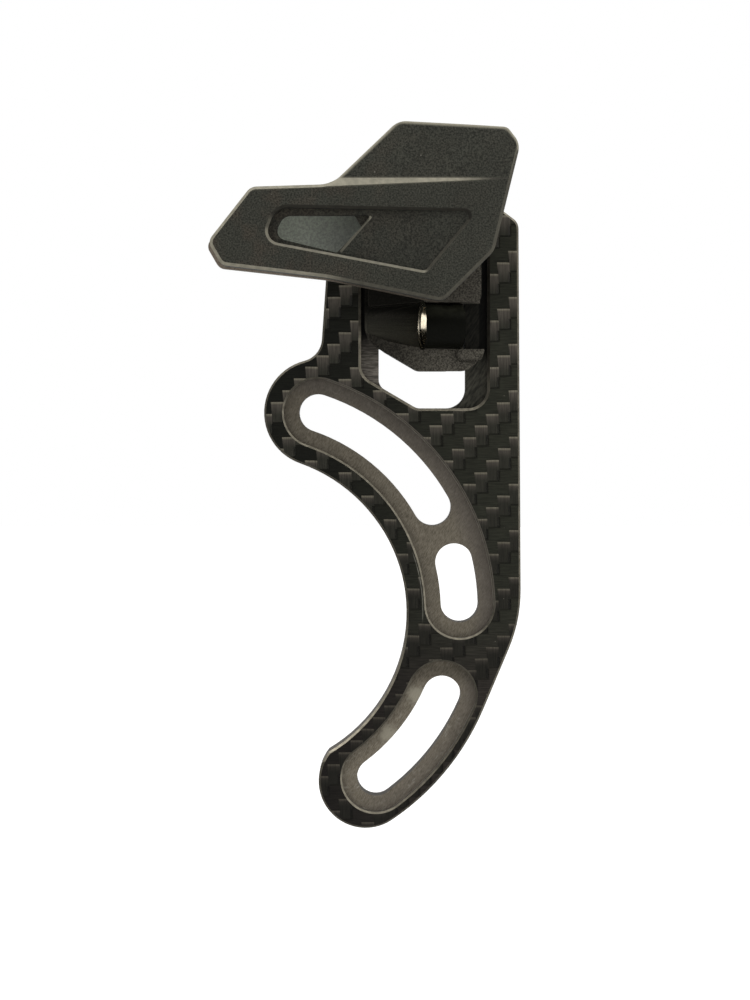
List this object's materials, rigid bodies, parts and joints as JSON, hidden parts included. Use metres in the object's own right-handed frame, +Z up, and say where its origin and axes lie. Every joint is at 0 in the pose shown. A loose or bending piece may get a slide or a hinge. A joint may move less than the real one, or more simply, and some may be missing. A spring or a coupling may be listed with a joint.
{
  "type": "bicycle chain guide",
  "caption": "Upper chain guide for a bicycle: a slotted carbon backplate carries a height-adjustable slider and a windowed two-wall cage that keeps the chain on the chainring.",
  "frame": {"origin": "crank axis on the backplate's inboard mounting face", "axes": "+X towards the front of the bicycle, +Z up, +Y inboard towards the frame"},
  "size_m": [0.0531, 0.025, 0.1183],
  "materials": {
    "carbon": "satin twill-weave carbon laminate",
    "nylon_slider": "spark-textured moulded nylon",
    "nylon_outer": "fine matte moulded nylon",
    "nylon_inner": "smooth moulded nylon",
    "steel_black": "black oxide steel",
    "steel_bright": "turned steel",
    "alloy_keeper": "black anodised sheet",
    "brass": "turned brass"
  },
  "bodies": {
    "plate": {"backplate": "carbon"},
    "height_slider": {"slider": "nylon_slider", "keeper_plate": "alloy_keeper", "keeper_screws": "steel_black"},
    "barrel": {"lock_barrel": "steel_black", "barrel_ring": "steel_bright"},
    "cage": {"cage_inner": "nylon_inner", "cage_roof": "nylon_inner", "cage_outer": "nylon_outer", "cage_screws": "steel_black", "cage_inserts": "brass"}
  },
  "joints": [
    {"name": "height_slide", "type": "slide", "parent": "plate", "child": "height_slider", "axis": [0, 0, 1], "range_m": [-0.0062, 0.0055]},
    {"name": "chainline_slide", "type": "slide", "parent": "height_slider", "child": "cage", "axis": [0, 1, 0], "range_m": [-0.0025, 0.0025]},
    {"name": "lock_turn", "type": "hinge", "parent": "height_slider", "child": "barrel", "pos_m": [0.0361, -0.00425, 0.049], "axis": [-0.9848, -0.1736, 0], "range_deg": [0, 90]}
  ]
}
